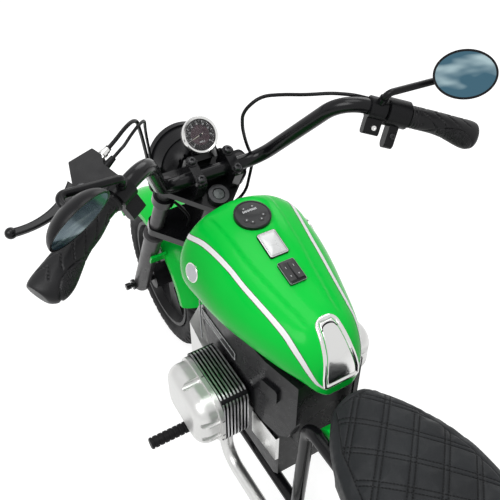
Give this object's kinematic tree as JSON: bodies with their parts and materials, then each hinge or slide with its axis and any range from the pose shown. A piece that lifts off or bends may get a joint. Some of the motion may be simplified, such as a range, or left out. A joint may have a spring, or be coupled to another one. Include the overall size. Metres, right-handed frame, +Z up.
{
  "type": "child's electric ride-on cruiser motorcycle",
  "caption": "Child-size electric ride-on cruiser motorcycle with painted tank, sprung-look fork, quilted seat, finned engine and small stabiliser wheels; it steers and rolls.",
  "frame": {"origin": "on the floor under the middle of the length, in the plane of symmetry of the frame", "axes": "+X forward, +Y to the rider's left, +Z up, standing on its wheels on a level floor"},
  "size_m": [1.1953, 0.6626, 0.7501],
  "materials": {
    "green_paint": "bright green moulded plastic with a high gloss",
    "tyre_rubber": "hard black plastic tread, dull",
    "wheel_black": "satin black moulded plastic",
    "black_plastic": "satin black moulded plastic with a fine grain",
    "satin_black": "satin black powder coat on steel",
    "dark_steel": "dull zinc-plated steel",
    "fork_grey": "dark grey painted tube",
    "grip_rubber": "soft black rubber, moulded ribs",
    "clear_lens": "clear polished plastic",
    "bracket_silver": "satin silver paint",
    "bright_chrome": "vacuum-plated bright chrome on plastic",
    "mirror_glass": "polished mirror with a cool blue-green tint",
    "cable_black": "black vinyl sheath",
    "fin_black": "satin black fins",
    "peg_rubber": "ribbed black rubber",
    "dark_panel": "glossy black panel",
    "white_disc": "glossy pale disc",
    "seat_leather": "soft black quilted leatherette",
    "red_lens": "glossy red lens"
  },
  "bodies": {
    "frame": {"rear_axle": "dark_steel", "main_frame": "satin_black", "centre_body": "black_plastic", "side_cover_left": "black_plastic", "side_cover_right": "black_plastic", "engine_block": "black_plastic", "engine_front_cover": "bright_chrome", "cylinder_left": "fin_black", "cylinder_right": "fin_black", "valve_covers": "bright_chrome", "engine_side_plates": "bright_chrome", "exhausts": "bright_chrome", "footpegs": "peg_rubber", "tank": "green_paint", "control_panel": "dark_panel", "badge_plate": "dark_panel", "switch_panel": "dark_panel", "side_roundels": "white_disc", "tank_trim": "bright_chrome", "seat_cushion": "seat_leather", "seat_base": "black_plastic", "under_seat_body": "green_paint", "rear_mudguard": "green_paint", "tail_lamp": "red_lens", "stabiliser_arms": "satin_black"},
    "steering": {"top_yoke": "satin_black", "lower_yoke": "satin_black", "steering_stem": "dark_steel", "fork_left": "fork_grey", "fork_right": "fork_grey", "front_axle": "dark_steel", "handlebar": "satin_black", "bar_clamps": "satin_black", "grip_left": "grip_rubber", "grip_right": "grip_rubber", "brake_perch": "black_plastic", "brake_lever": "satin_black", "throttle_housing": "black_plastic", "headlamp_shell": "black_plastic", "headlamp_lens": "clear_lens", "lamp_brackets": "bracket_silver", "speedometer": "black_plastic", "speedometer_bezel": "bright_chrome", "front_mudguard": "green_paint", "mirror_left": "black_plastic", "mirror_right": "black_plastic", "mirror_glasses": "mirror_glass", "brake_cable": "cable_black", "switch_lead": "cable_black", "throttle_cable": "cable_black"},
    "front_wheel": {"front_tyre": "tyre_rubber", "front_rim": "wheel_black"},
    "rear_wheel": {"rear_tyre": "tyre_rubber", "rear_rim": "wheel_black"},
    "left_stabiliser": {"stabiliser_wheel_left": "wheel_black"},
    "right_stabiliser": {"stabiliser_wheel_right": "wheel_black"}
  },
  "joints": [
    {"name": "steering", "type": "hinge", "parent": "frame", "child": "steering", "pos_m": [0.206, 0, 0.507], "axis": [-0.454, 0, 0.891], "range_deg": [-35, 35]},
    {"name": "front_wheel_spin", "type": "hinge", "parent": "steering", "child": "front_wheel", "pos_m": [0.43566, 0, 0.162], "axis": [0, 1, 0], "continuous": true},
    {"name": "rear_wheel_spin", "type": "hinge", "parent": "frame", "child": "rear_wheel", "pos_m": [-0.41764, 0, 0.162], "axis": [0, 1, 0], "continuous": true},
    {"name": "left_stabiliser_spin", "type": "hinge", "parent": "frame", "child": "left_stabiliser", "pos_m": [-0.41764, 0.152, 0.068], "axis": [0, 1, 0], "continuous": true},
    {"name": "right_stabiliser_spin", "type": "hinge", "parent": "frame", "child": "right_stabiliser", "pos_m": [-0.41764, -0.152, 0.068], "axis": [0, 1, 0], "continuous": true}
  ]
}
